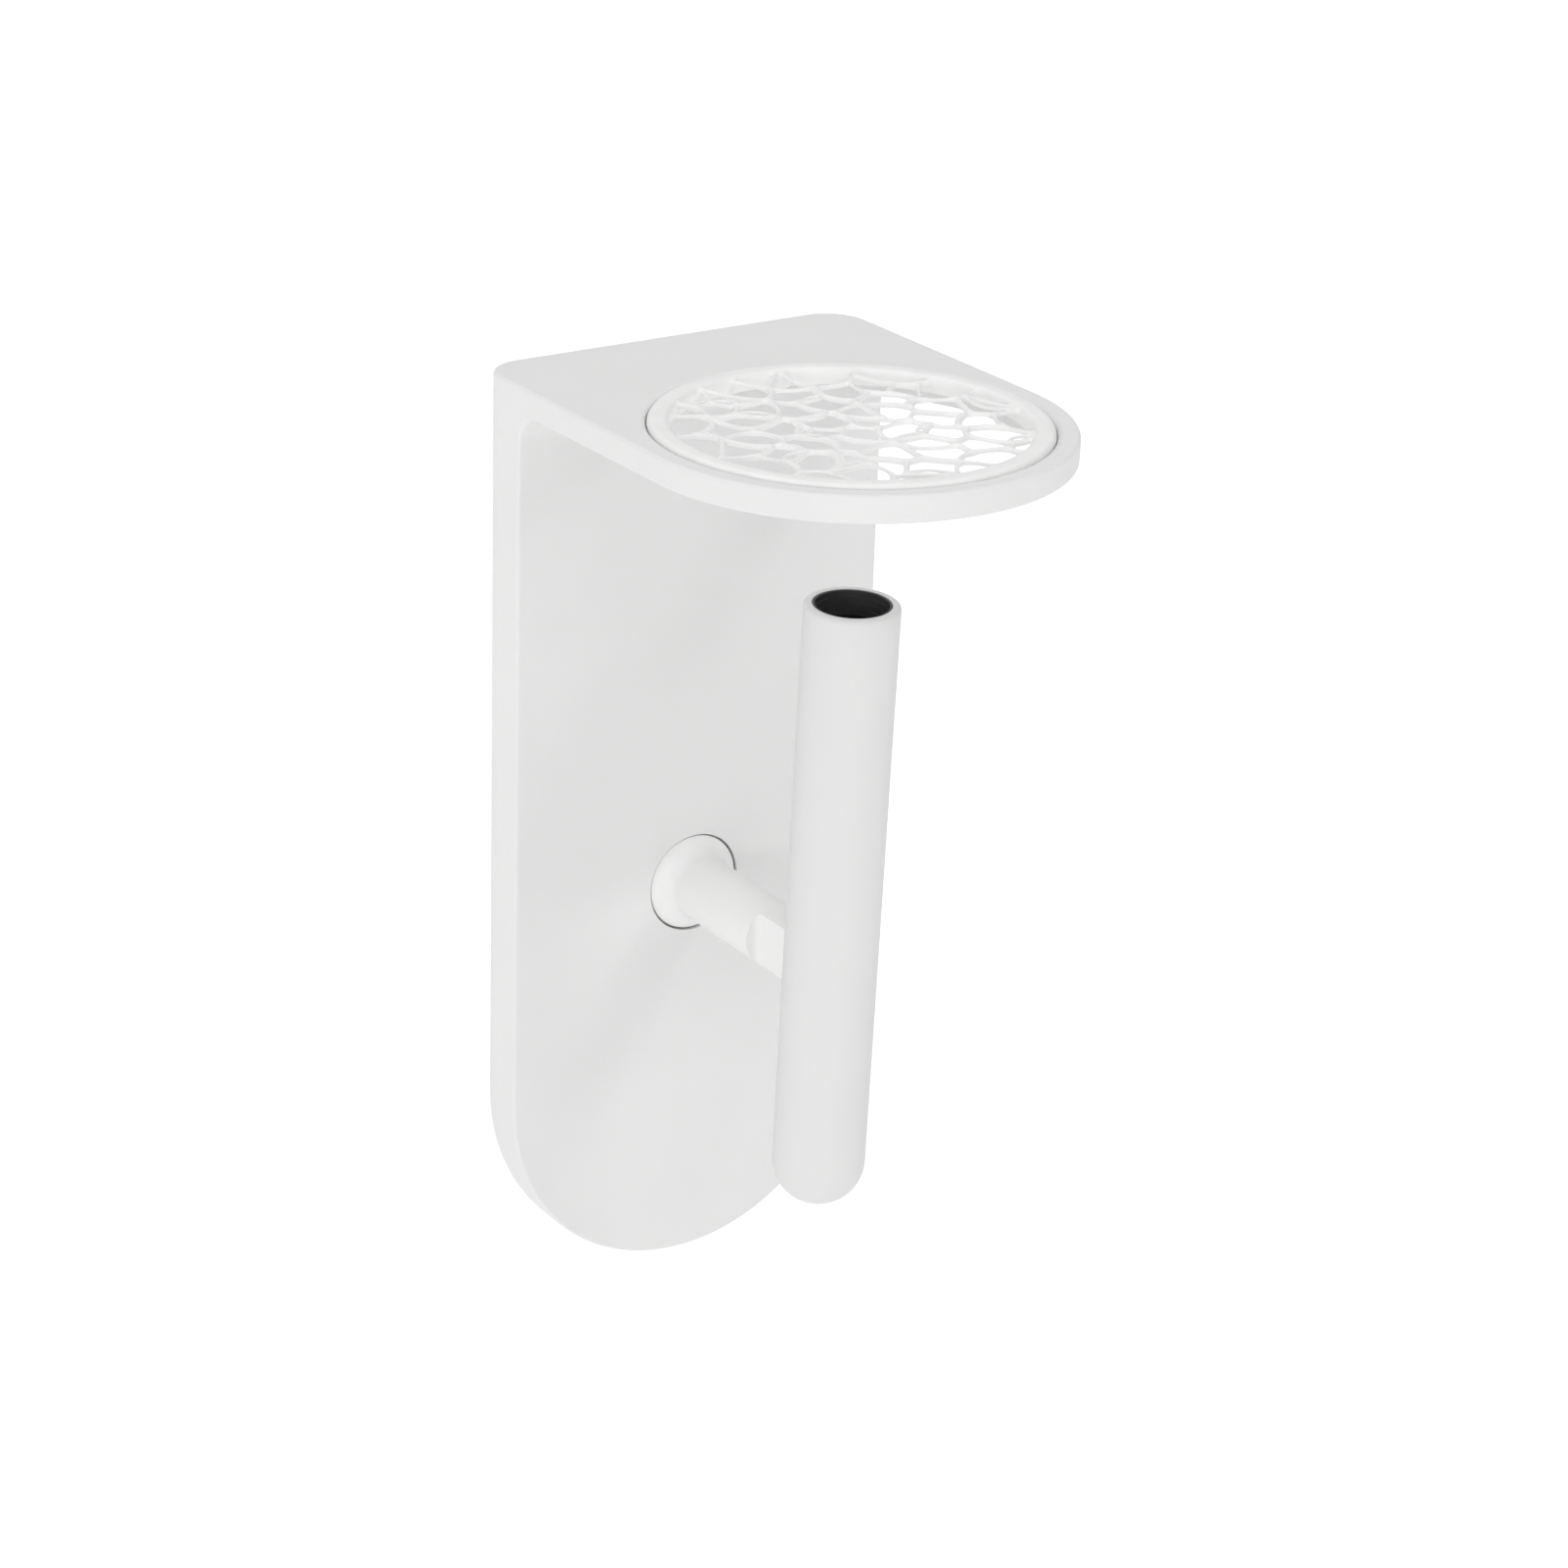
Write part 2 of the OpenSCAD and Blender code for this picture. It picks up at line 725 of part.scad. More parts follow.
module pivot_screw() {
    color(steel) in_tube() difference() {
        union() {
            translate([1 - core_r, 0, 0]) rotate([0, 90, 0]) cylinder(r = pivot_r, h = bore_r + core_r - 1);
            translate([bore_r - eps, 0, 0]) rotate([0, 90, 0]) cylinder(r = pivot_head_r, h = pivot_head_t);
        }
        translate([bore_r + pivot_head_t - pivot_hex_deep, 0, 0]) rotate([0, 90, 0])
            cylinder(r = pivot_hex_r, h = pivot_hex_deep + 1, $fn = 6);
    }
}

module friction_washers() {
    color("ivory") in_tube() for (side = [-1, 1])
        translate([side * (tongue_w / 2 + fit + washer_t / 2) - washer_t / 2, 0, 0]) rotate([0, 90, 0])
            ring_z(0, washer_t, pivot_r + 2 * fit, washer_r);
}

module spot_lead() {
    low = pocket_half_h + lead_gap;
    color("white") in_tube()
        translate([0, lead_off, low]) cylinder(r = lead_r, h = board_z - low - lead_gap, $fn = 32);
}

module heat_sink() {
    color("silver") in_tube() difference() {
        translate([0, 0, block_half]) cylinder(r = core_r, h = board_z - block_half);
        for (i = [0 : sink_fins - 1])
            rotate([0, 0, (i + 0.5) * 360 / sink_fins])
                translate([sink_core_r, -sink_slot / 2, block_half + sink_end])
                    cube([tube_r, sink_slot, board_z - block_half - 2 * sink_end]);
        translate([0, lead_off, block_half - 1]) cylinder(r = lead_hole_r, h = board_z);
    }
}

module led_board() {
    color("white") in_tube() difference() {
        translate([0, 0, board_z]) cylinder(r = core_r - 0.6, h = board_t);
        for (s = [-1, 1])
            translate([s * board_screw_x, 0, board_z - 1])
                cylinder(r = board_screw_r + fit, h = board_t + 2);
    }
}

module board_screws() {
    color(steel) in_tube() for (s = [-1, 1])
        translate([s * board_screw_x, 0, board_z + screw_tip_y]) {
            cylinder(r = board_screw_r, h = board_t);
            translate([0, 0, board_t - screw_tip_y]) cylinder(r = 1.8 * board_screw_r, h = 1);
        }
}

module led_emitter() {
    base_w = 4;
    base_t = 0.8;
    dome_r = 1.6;
    color("khaki") in_tube() translate([0, 0, board_z + board_t]) {
        translate([-base_w / 2, -base_w / 2, 0]) cube([base_w, base_w, base_t]);
        translate([0, 0, base_t]) intersection() {
            sphere(dome_r);
            translate([0, 0, -eps]) cylinder(r = base_w / 2, h = dome_r + 1);
        }
    }
}

module lens_holder() {
    color([0.15, 0.15, 0.15]) in_tube()
        ring_z(board_z + board_t, lens_top - lens_flange_t, core_r - holder_wall, core_r);
}

// A cone-shaped lens with a flange at the top and a hollow over the emitter.
module lens() {
    low_r = 4;
    cone_r = core_r - holder_wall - 0.4;
    cone_h = lens_h - lens_flange_t;
    hollow_r = 3.2;
    hollow_h = 4.5;
    color([0.85, 0.9, 0.95, 0.5]) in_tube() translate([0, 0, board_z + board_t]) difference() {
        rotate_extrude() polygon([
            [0, lens_seat], [low_r, lens_seat], [cone_r, cone_h - lens_seat], [cone_r, cone_h],
            [core_r, cone_h], [core_r, lens_h], [0, lens_h]
        ]);
        cylinder(r = hollow_r, h = hollow_h);
    }
}

module lens_seal() {
    color([0.1, 0.1, 0.1]) in_tube() translate([0, 0, lens_top + seal_r])
        rotate_extrude() translate([core_r - seal_r - fit, 0]) circle(seal_r, $fn = 24);
}

module glare_baffle() {
    low = lens_top + 2 * seal_r + fit;
    steps = 4;
    step_h = (baffle_top - low) / steps;
    throat_r = 9.9;
    step_w = 0.35;
    // each step of the bore opens a little towards the mouth
    color([0.08, 0.08, 0.08]) in_tube() rotate_extrude() difference() {
        translate([throat_r, low]) square([core_r - throat_r, baffle_top - low]);
        for (i = [1 : steps - 1])
            translate([0, low + i * step_h]) square([throat_r + step_w * i, step_h + eps]);
    }
}

// ---------------------------------------------------------------- openwork disc

// The rim's section: a flange that rests in the seat and a collar inside the opening.
module rim_section() {
    flange_z = collar_down - seat_depth;
    flange_t = seat_depth + rim_proud;
    square([rim_w - seat_ledge - seat_play, flange_z + eps]);
    translate([0, flange_z]) {
        square([rim_w, flange_t - rim_round]);
        translate([rim_round, 0]) square([rim_w - 2 * rim_round, flange_t]);
        for (x = [rim_round, rim_w - rim_round])
            translate([x, flange_t - rim_round]) circle(rim_round);
    }
}

module lattice_disc() {
    color([0.96, 0.96, 0.95]) translate([0, -reach, 0]) {
        translate([0, 0, top_z - collar_down]) rotate_extrude() translate([net_r, 0]) rim_section();
        translate([0, 0, net_z]) linear_extrude(net_t) net_outline();
    }
}

body_shell();
wall_plate();
lock_screw();
cable_grommet();
strain_clamp();
clamp_screws();
terminal_block();
live_wire();
neutral_wire();
led_driver();
driver_screws();
driver_lead();
arm_bush();
thrust_washer();
stop_pin();
arm();
stop_washer();
wave_washer();
arm_nut();
arm_lead();
spot_tube();
tilt_block();
pivot_screw();
friction_washers();
spot_lead();
heat_sink();
led_board();
board_screws();
led_emitter();
lens_holder();
lens();
lens_seal();
glare_baffle();
lattice_disc();
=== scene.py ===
"""Looks of the wall light: finishes, the net of the openwork disc, lights, floor and camera."""

import json
import math
import random

import bmesh
import bpy
from mathutils import Matrix, Vector


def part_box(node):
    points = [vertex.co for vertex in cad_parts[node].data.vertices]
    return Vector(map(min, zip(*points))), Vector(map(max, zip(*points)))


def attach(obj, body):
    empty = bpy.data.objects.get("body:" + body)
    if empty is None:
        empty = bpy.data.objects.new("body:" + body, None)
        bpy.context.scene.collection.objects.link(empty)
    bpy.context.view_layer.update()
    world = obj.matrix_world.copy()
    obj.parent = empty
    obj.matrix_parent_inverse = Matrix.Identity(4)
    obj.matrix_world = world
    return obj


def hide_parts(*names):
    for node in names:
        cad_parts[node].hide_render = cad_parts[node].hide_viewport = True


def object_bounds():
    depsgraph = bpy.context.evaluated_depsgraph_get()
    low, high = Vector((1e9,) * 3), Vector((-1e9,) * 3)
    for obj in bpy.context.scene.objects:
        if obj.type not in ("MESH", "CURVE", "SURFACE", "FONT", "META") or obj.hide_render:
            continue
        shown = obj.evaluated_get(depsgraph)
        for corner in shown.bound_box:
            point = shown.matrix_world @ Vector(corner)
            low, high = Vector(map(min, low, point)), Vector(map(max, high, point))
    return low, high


MM = 0.001

# ---------------------------------------------------------------- view, as angles round the light and metres

VIEW_AZIMUTH = math.radians(-34.82)   # from straight in front, towards the light's left
VIEW_ELEVATION = math.radians(22.47)
VIEW_ROLL = math.radians(1.97)
VIEW_DISTANCE = 1.2238                # camera to the middle of the light
VIEW_OFF_RIGHT = -0.0049              # what the camera aims at, off the middle of the light
VIEW_OFF_UP = 0.0303
VIEW_LENS = 93.5                      # millimetres, on a sensor of the width below
VIEW_SENSOR = 36

# ---------------------------------------------------------------- stage

FLOOR_DROP = 0.45                     # floor below the light's lowest point
FLOOR_SIZE = 30.0
GLOW_NEAR = 0.05                      # the floor glows like a light table, more so farther out
GLOW_FAR = 0.24
GLOW_FROM = 0.3                       # distances between which the glow grows
GLOW_TO = 1.3
ROOM_LEFT = 0.66                      # brightness of the room on the light's left
ROOM_RIGHT = 0.24                     # and on its right
ROOM_TOP = 0.68                       # and how much brighter it is overhead
ROOM_DIMS_FROM = -0.2                 # where the room starts to dim, from -1 on the left to 1 on the right
ROOM_LIFTS_FROM = 0.3                 # where it starts to brighten, from -1 below to 1 overhead

# soft boxes: place from the middle of the light, size in metres, power in watts
FRONT_PLACE = (-1.9, -1.55, 0.35)
FRONT_SIZE = 0.45
FRONT_POWER = 8
RIGHT_PLACE = (0.9, -1.2, 1.4)
RIGHT_SIZE = 0.5
RIGHT_POWER = 4.5

# ---------------------------------------------------------------- openwork disc: the CAD's rule

RIM_W = 6.4 * MM
RIM_ROUND = 1.6 * MM
RIM_PROUD = 0.8 * MM
RIM_FLANGE = 3.2 * MM                 # height of the flange that rests in the seat
RIM_COLLAR = 2.3 * MM                 # width of the collar below it
NET_CELLS = 58
NET_WOBBLE = 0.4
NET_INSET = 0.5 * MM
NET_MIDDLE = 0.8 * MM                 # middle of the strands below the shelf's top
NET_EDGE_STEPS = 40                   # sides of the polygon that bounds the openings
GOLDEN = math.radians(137.508)
CORNER_NEAR = 0.5 * MM                # corners closer than this are one
ON_EDGE = 0.99                        # lines with their middle past this share of the edge's radius are edge

# looks only
RANDOM_SEED = 11
STRAND_R = 0.95 * MM                  # half the width of a strand, halfway along it
STRAND_SPREAD = (0.75, 1.3)           # least and greatest width, over the usual one
STRAND_BOW = 0.14                     # greatest bow to either side, over the length
STRAND_FLAT = 0.85                    # height of a strand over its width
STRAND_SWING = 0.25 * MM              # how far the meeting points lie above or below the middle
STRAND_SIDES = 10                     # round a strand, and along it
STRAND_STEPS = 8
JOINT_R = 1.3 * MM                    # half the width where strands meet
INTO_RIM = 1 * MM                     # corners this near the rim move into it, as far past its inside
DOUBLED = 32                          # strands chosen for a second, more bowed one beside them
DOUBLED_FROM = 5 * MM                 # of those, shorter ones stay single
DOUBLED_BOW = (0.22, 0.36)            # least and greatest bow of the second one, over the length
DOUBLED_RISE = 0.3 * MM               # how much higher the second one's middle lies
DOUBLED_SIZE = 0.75                   # its width over the usual one
RIM_STEPS = 256                       # round the rim, and round each of its top edges
ROUND_STEPS = 6
VOXEL = 0.46 * MM                     # grain at which strands and rim grow together
SMOOTHINGS = 6
BELOW_TOP = 0.01 * MM                 # keeps the disc inside the CAD's box


def map_range(tree, value, given, wanted):
    """value, spread from its given (lowest, highest) to the wanted ones."""
    node = tree.nodes.new("ShaderNodeMapRange")
    node.inputs["From Min"].default_value = given[0]
    node.inputs["From Max"].default_value = given[1]
    node.inputs["To Min"].default_value = wanted[0]
    node.inputs["To Max"].default_value = wanted[1]
    tree.links.new(value, node.inputs["Value"])
    return node.outputs["Result"]


def make_camera(middle):
    """The camera at the set angle round the light, aimed a little off its middle."""
    back = Vector((
        math.sin(VIEW_AZIMUTH) * math.cos(VIEW_ELEVATION),
        -math.cos(VIEW_AZIMUTH) * math.cos(VIEW_ELEVATION),
        math.sin(VIEW_ELEVATION),
    ))
    turn = (-back).to_track_quat("-Z", "Y").to_matrix() @ Matrix.Rotation(VIEW_ROLL, 3, "Z")
    aim = middle + turn.col[0] * VIEW_OFF_RIGHT + turn.col[1] * VIEW_OFF_UP
    data = bpy.data.cameras.new("camera")
    data.lens = VIEW_LENS
    data.sensor_width = VIEW_SENSOR
    data.clip_start = 0.05
    data.clip_end = 100
    camera = bpy.data.objects.new("camera", data)
    camera.matrix_world = Matrix.Translation(aim + back * VIEW_DISTANCE) @ turn.to_4x4()
    bpy.context.scene.collection.objects.link(camera)
    bpy.context.scene.camera = camera


def make_floor(lowest):
    """A plain white floor, well below the light, because the light hangs on a wall."""
    mesh = bpy.data.meshes.new("floor")
    grid = bmesh.new()
    bmesh.ops.create_grid(grid, x_segments=1, y_segments=1, size=FLOOR_SIZE / 2)
    grid.to_mesh(mesh)
    grid.free()
    floor = bpy.data.objects.new("floor", mesh)
    floor.location.z = lowest - FLOOR_DROP
    bpy.context.scene.collection.objects.link(floor)
    floor.data.materials.append(floor_paint())


def make_light(name, place, target, size, power):
    """A square soft box."""
    data = bpy.data.lights.new(name, "AREA")
    data.size = size
    data.energy = power
    lamp = bpy.data.objects.new(name, data)
    lamp.location = place
    lamp.rotation_mode = "QUATERNION"
    lamp.rotation_quaternion = (Vector(target) - Vector(place)).to_track_quat("-Z", "Y")
    bpy.context.scene.collection.objects.link(lamp)


def make_lights(middle):
    """Two soft boxes: one low in front, to the left, and a weaker one high on the right."""
    make_light("front", middle + Vector(FRONT_PLACE), middle, FRONT_SIZE, FRONT_POWER)
    make_light("right", middle + Vector(RIGHT_PLACE), middle, RIGHT_SIZE, RIGHT_POWER)


def make_room():
    """A white room, dimmer on the right and brighter overhead."""
    world = bpy.data.worlds.new("room")
    world.use_nodes = True
    tree = world.node_tree
    toward = tree.nodes.new("ShaderNodeTexCoord").outputs["Generated"]
    split = tree.nodes.new("ShaderNodeSeparateXYZ")
    tree.links.new(toward, split.inputs[0])
    across = map_range(tree, split.outputs["X"], (ROOM_DIMS_FROM, 1), (ROOM_LEFT, ROOM_RIGHT))
    overhead = map_range(tree, split.outputs["Z"], (ROOM_LIFTS_FROM, 1), (0, ROOM_TOP))
    total = tree.nodes.new("ShaderNodeMath")
    total.operation = "ADD"
    tree.links.new(across, total.inputs[0])
    tree.links.new(overhead, total.inputs[1])
    sky = tree.nodes["Background"]
    sky.inputs["Color"].default_value = (1.0, 1.0, 1.0, 1.0)
    tree.links.new(total.outputs["Value"], sky.inputs["Strength"])
    bpy.context.scene.world = world


# ---------------------------------------------------------------- node helpers

class Finish:
    """A Principled material under construction, with helpers for the textures that feed it."""

    def __init__(self, name, metallic=0.0):
        self.material = bpy.data.materials.new(name)
        self.material.use_nodes = True
        self.tree = self.material.node_tree
        self.shader = self.tree.nodes["Principled BSDF"]
        self.shader.inputs["Metallic"].default_value = metallic
        self.place = self.tree.nodes.new("ShaderNodeTexCoord").outputs["Object"]

    def stretched(self, x, y, z):
        """The object's coordinates, scaled along each axis."""
        node = self.tree.nodes.new("ShaderNodeMapping")
        node.inputs["Scale"].default_value = (x, y, z)
        self.tree.links.new(self.place, node.inputs["Vector"])
        return node.outputs["Vector"]

    def noise(self, size, detail=2.0, rough=0.5, place=None):
        """Noise with features of that size, in metres."""
        node = self.tree.nodes.new("ShaderNodeTexNoise")
        node.inputs["Scale"].default_value = 1 / size
        node.inputs["Detail"].default_value = detail
        node.inputs["Roughness"].default_value = rough
        self.tree.links.new(place or self.place, node.inputs["Vector"])
        return node.outputs["Fac"]

    def ramp(self, value, low, high):
        """A noise value's middle range, where nearly all of it lies, spread from low to high."""
        return map_range(self.tree, value, (0.3, 0.7), (low, high))

    def color(self, value, first, second):
        """A colour that drifts between first and second."""
        node = self.tree.nodes.new("ShaderNodeMix")
        node.data_type = "RGBA"
        node.inputs["A"].default_value = (*first, 1.0)
        node.inputs["B"].default_value = (*second, 1.0)
        self.tree.links.new(self.ramp(value, 0, 1), node.inputs["Factor"])
        self.tree.links.new(node.outputs["Result"], self.shader.inputs["Base Color"])

    def roughness(self, value, low, high):
        """A roughness that drifts between low and high."""
        self.tree.links.new(self.ramp(value, low, high), self.shader.inputs["Roughness"])

    def bump(self, *layers):
        """Layers of (height value, depth in metres), one over the other."""
        last = None
        for value, depth in layers:
            node = self.tree.nodes.new("ShaderNodeBump")
            node.inputs["Strength"].default_value = 1.0
            node.inputs["Distance"].default_value = depth
            self.tree.links.new(value, node.inputs["Height"])
            if last:
                self.tree.links.new(last, node.inputs["Normal"])
            last = node.outputs["Normal"]
        self.tree.links.new(last, self.shader.inputs["Normal"])


def near(color, spread):
    """Two near colours, a darker and a lighter one."""
    return tuple(c * (1 - spread) for c in color), tuple(min(1.0, c * (1 + spread)) for c in color)


# ---------------------------------------------------------------- finishes

def powder_coat(name, color):
    """Matt white powder coat: fine grain over a faint orange peel."""
    made = Finish(name)
    made.color(made.noise(30 * MM, 3.0), *near(color, 0.01))
    made.roughness(made.noise(2 * MM, 2.0), 0.48, 0.6)
    made.bump((made.noise(1.6 * MM, 1.0), 0.014 * MM), (made.noise(0.35 * MM, 1.0), 0.01 * MM))
    return made.material


def moulded(name, color, rough, grain):
    """Plain moulded plastic with a fine spark-eroded grain of that depth."""
    made = Finish(name)
    made.color(made.noise(12 * MM, 2.0), *near(color, 0.03))
    made.roughness(made.noise(1.2 * MM, 2.0), rough - 0.07, rough + 0.07)
    made.bump((made.noise(0.5 * MM, 2.0), grain))
    return made.material


def brushed_steel(name, color):
    """Zinc-bright steel with fine scratches along X and a cloudy sheen."""
    made = Finish(name, metallic=1.0)
    scratch = made.noise(0.4 * MM, 3.0, place=made.stretched(0.03, 1, 1))
    made.color(made.noise(9 * MM, 4.0), *near(color, 0.08))
    made.roughness(scratch, 0.26, 0.42)
    made.bump((scratch, 0.004 * MM))
    return made.material


def turned_aluminium(name, color):
    """Bare turned aluminium: fine rings round the tube's axis."""
    made = Finish(name, metallic=1.0)
    rings = made.noise(0.35 * MM, 2.0, place=made.stretched(0.01, 0.01, 1))
    made.color(made.noise(15 * MM, 3.0), *near(color, 0.04))
    made.roughness(rings, 0.24, 0.38)
    made.bump((rings, 0.006 * MM))
    return made.material


def rubber(name, color):
    """Black rubber, faintly dusty."""
    made = Finish(name)
    made.color(made.noise(3 * MM, 4.0), *near(color, 0.35))
    made.roughness(made.noise(0.8 * MM, 3.0), 0.7, 0.86)
    made.bump((made.noise(0.3 * MM, 2.0), 0.02 * MM))
    return made.material


def board_coat(name, color):
    """White solder mask over the weave of the board."""
    made = Finish(name)
    weave = made.noise(0.5 * MM, 1.0, place=made.stretched(1, 0.3, 1))
    made.color(made.noise(4 * MM, 3.0), *near(color, 0.03))
    made.roughness(weave, 0.26, 0.36)
    made.bump((weave, 0.01 * MM))
    return made.material


def phosphor_dome(name, color):
    """Phosphor grains under clear silicone."""
    made = Finish(name)
    grains = made.noise(0.15 * MM, 3.0)
    made.color(grains, *near(color, 0.12))
    made.roughness(grains, 0.18, 0.34)
    made.bump((grains, 0.01 * MM))
    return made.material


def clear_plastic(name, color):
    """Clear moulded lens with faint flow lines."""
    made = Finish(name)
    made.shader.inputs["Transmission Weight"].default_value = 1.0
    made.shader.inputs["IOR"].default_value = 1.49
    made.color(made.noise(5 * MM, 2.0), *near(color, 0.02))
    made.roughness(made.noise(1.5 * MM, 2.0), 0.01, 0.06)
    made.bump((made.noise(2 * MM, 1.0), 0.006 * MM))
    return made.material


def floor_paint():
    """Plain white floor that glows a little, least below the light."""
    made = Finish("floor_paint")
    made.color(made.noise(0.4, 2.0), (0.94, 0.94, 0.94), (0.96, 0.96, 0.96))
    made.roughness(made.noise(0.02, 2.0), 0.8, 0.9)
    made.bump((made.noise(0.004, 2.0), 0.05 * MM))
    made.shader.inputs["Emission Color"].default_value = (1.0, 1.0, 1.0, 1.0)
    out = made.tree.nodes.new("ShaderNodeVectorMath")
    out.operation = "LENGTH"
    made.tree.links.new(made.place, out.inputs[0])
    glow = map_range(made.tree, out.outputs["Value"], (GLOW_FROM, GLOW_TO), (GLOW_NEAR, GLOW_FAR))
    made.tree.links.new(glow, made.shader.inputs["Emission Strength"])
    return made.material


def make_finishes():
    """One material for each material slot of the record."""
    return {
        # body, arm and tube wear one white powder coat; the arm's lighter base colour is painted light and
        # the tube's darker one is painted shade
        "body_white": powder_coat("body_white", (0.75, 0.75, 0.747)),
        "arm_white": powder_coat("arm_white", (0.83, 0.83, 0.825)),
        "tube_white": powder_coat("tube_white", (0.7, 0.7, 0.697)),
        "disc_white": moulded("disc_white", (0.83, 0.83, 0.825), 0.5, 0.006 * MM),
        "steel": brushed_steel("steel", (0.6, 0.61, 0.63)),
        "bare_aluminium": turned_aluminium("bare_aluminium", (0.76, 0.77, 0.78)),
        "black_rubber": rubber("black_rubber", (0.02, 0.02, 0.02)),
        "black_plastic": moulded("black_plastic", (0.04, 0.04, 0.041), 0.42, 0.012 * MM),
        "white_nylon": moulded("white_nylon", (0.72, 0.72, 0.68), 0.45, 0.01 * MM),
        "bearing_polymer": moulded("bearing_polymer", (0.62, 0.58, 0.44), 0.4, 0.006 * MM),
        "driver_white": moulded("driver_white", (0.7, 0.71, 0.73), 0.42, 0.015 * MM),
        "board_white": board_coat("board_white", (0.78, 0.8, 0.81)),
        "phosphor": phosphor_dome("phosphor", (0.85, 0.68, 0.16)),
        "clear_lens": clear_plastic("clear_lens", (0.93, 0.95, 0.97)),
        "brown_wire": moulded("brown_wire", (0.16, 0.055, 0.02), 0.38, 0.01 * MM),
        "blue_wire": moulded("blue_wire", (0.015, 0.07, 0.32), 0.38, 0.01 * MM),
        "white_lead": moulded("white_lead", (0.72, 0.72, 0.7), 0.4, 0.01 * MM),
    }


# ---------------------------------------------------------------- net of the openwork disc

def scatter(i, k):
    """A repeatable value from 0 to 1 for each whole number."""
    value = math.sin(math.radians(i * 47.3 + k * 71.9)) * 917.13
    return value - math.floor(value)


def net_seed(i, net_r):
    """Centre of an opening: a point of a sunflower head, pushed off its place."""
    push = net_r * math.sqrt(math.pi / NET_CELLS) * NET_WOBBLE
    r = net_r * math.sqrt((i + 0.5) / NET_CELLS)
    return Vector((
        r * math.cos(i * GOLDEN) + push * (2 * scatter(i, 1) - 1),
        r * math.sin(i * GOLDEN) + push * (2 * scatter(i, 2) - 1),
    ))


def clipped(outline, normal, distance):
    """The part of an outline on the near side of a line."""
    kept = []
    for a, b in zip(outline, outline[1:] + outline[:1]):
        side_a = normal.dot(a) - distance
        side_b = normal.dot(b) - distance
        if side_a <= 0:
            kept.append(a)
        if side_a * side_b < 0:
            kept.append(a + (b - a) * side_a / (side_a - side_b))
    return kept


def net_cell(i, seeds, edge):
    """All that is nearer to seed i than to any other."""
    outline = edge
    for k, seed in enumerate(seeds):
        if k != i:
            normal = (seed - seeds[i]).normalized()
            outline = clipped(outline, normal, normal.dot(seed + seeds[i]) / 2)
    return outline


class Net:
    """The corners and strands between the openings."""

    def __init__(self, net_r):
        self.edge_r = net_r - NET_INSET
        self.corners = []
        self.strands = {}
        seeds = [net_seed(i, net_r) for i in range(NET_CELLS)]
        turns = [2 * math.pi * i / NET_EDGE_STEPS for i in range(NET_EDGE_STEPS)]
        edge = [Vector((math.cos(t), math.sin(t))) * self.edge_r for t in turns]
        for i, seed in enumerate(seeds):
            outline = net_cell(i, seeds, edge)
            for a, b in zip(outline, outline[1:] + outline[:1]):
                if ((a + b) / 2).length < self.edge_r * ON_EDGE:
                    ends = tuple(sorted((self.corner(a), self.corner(b))))
                    if ends[0] != ends[1]:
                        self.strands.setdefault(ends, []).append(seed)

    def corner(self, point):
        """The number of the corner at a point, a new one if there is none."""
        for number, known in enumerate(self.corners):
            if (known - point).length < CORNER_NEAR:
                return number
        self.corners.append(point)
        return len(self.corners) - 1


def add_tube(shape, path, sizes):
    """A closed tube along a path, with a radius at each of its points."""
    turns = [2 * math.pi * j / STRAND_SIDES for j in range(STRAND_SIDES)]
    rings = []
    for k, (point, size) in enumerate(zip(path, sizes)):
        along = (path[min(k + 1, len(path) - 1)] - path[max(k - 1, 0)]).normalized()
        side = along.cross(Vector((0, 0, 1))).normalized()
        up = side.cross(along)
        round_it = [side * math.cos(t) + up * (STRAND_FLAT * math.sin(t)) for t in turns]
        rings.append([shape.verts.new(point + size * spoke) for spoke in round_it])
    for low, high in zip(rings, rings[1:]):
        for j in range(STRAND_SIDES):
            shape.faces.new((low[j], low[j - 1], high[j - 1], high[j]))
    shape.faces.new(rings[0])
    shape.faces.new(rings[-1][::-1])


def strand_path(start, end, bow):
    """A bowed way from start to end; bow is its middle's offset."""
    path = []
    for k in range(STRAND_STEPS + 1):
        t = k / STRAND_STEPS
        path.append(start.lerp(end, t) + bow * (4 * t * (1 - t)))
    return path


def add_strand(shape, start, end, bow, size):
    """A strand of that radius halfway, which swells to the joints' radius at its ends."""
    off_middle = [abs(2 * k / STRAND_STEPS - 1) for k in range(STRAND_STEPS + 1)]
    sizes = [size + (JOINT_R - size) * off ** 3 for off in off_middle]
    add_tube(shape, strand_path(start, end, bow), sizes)


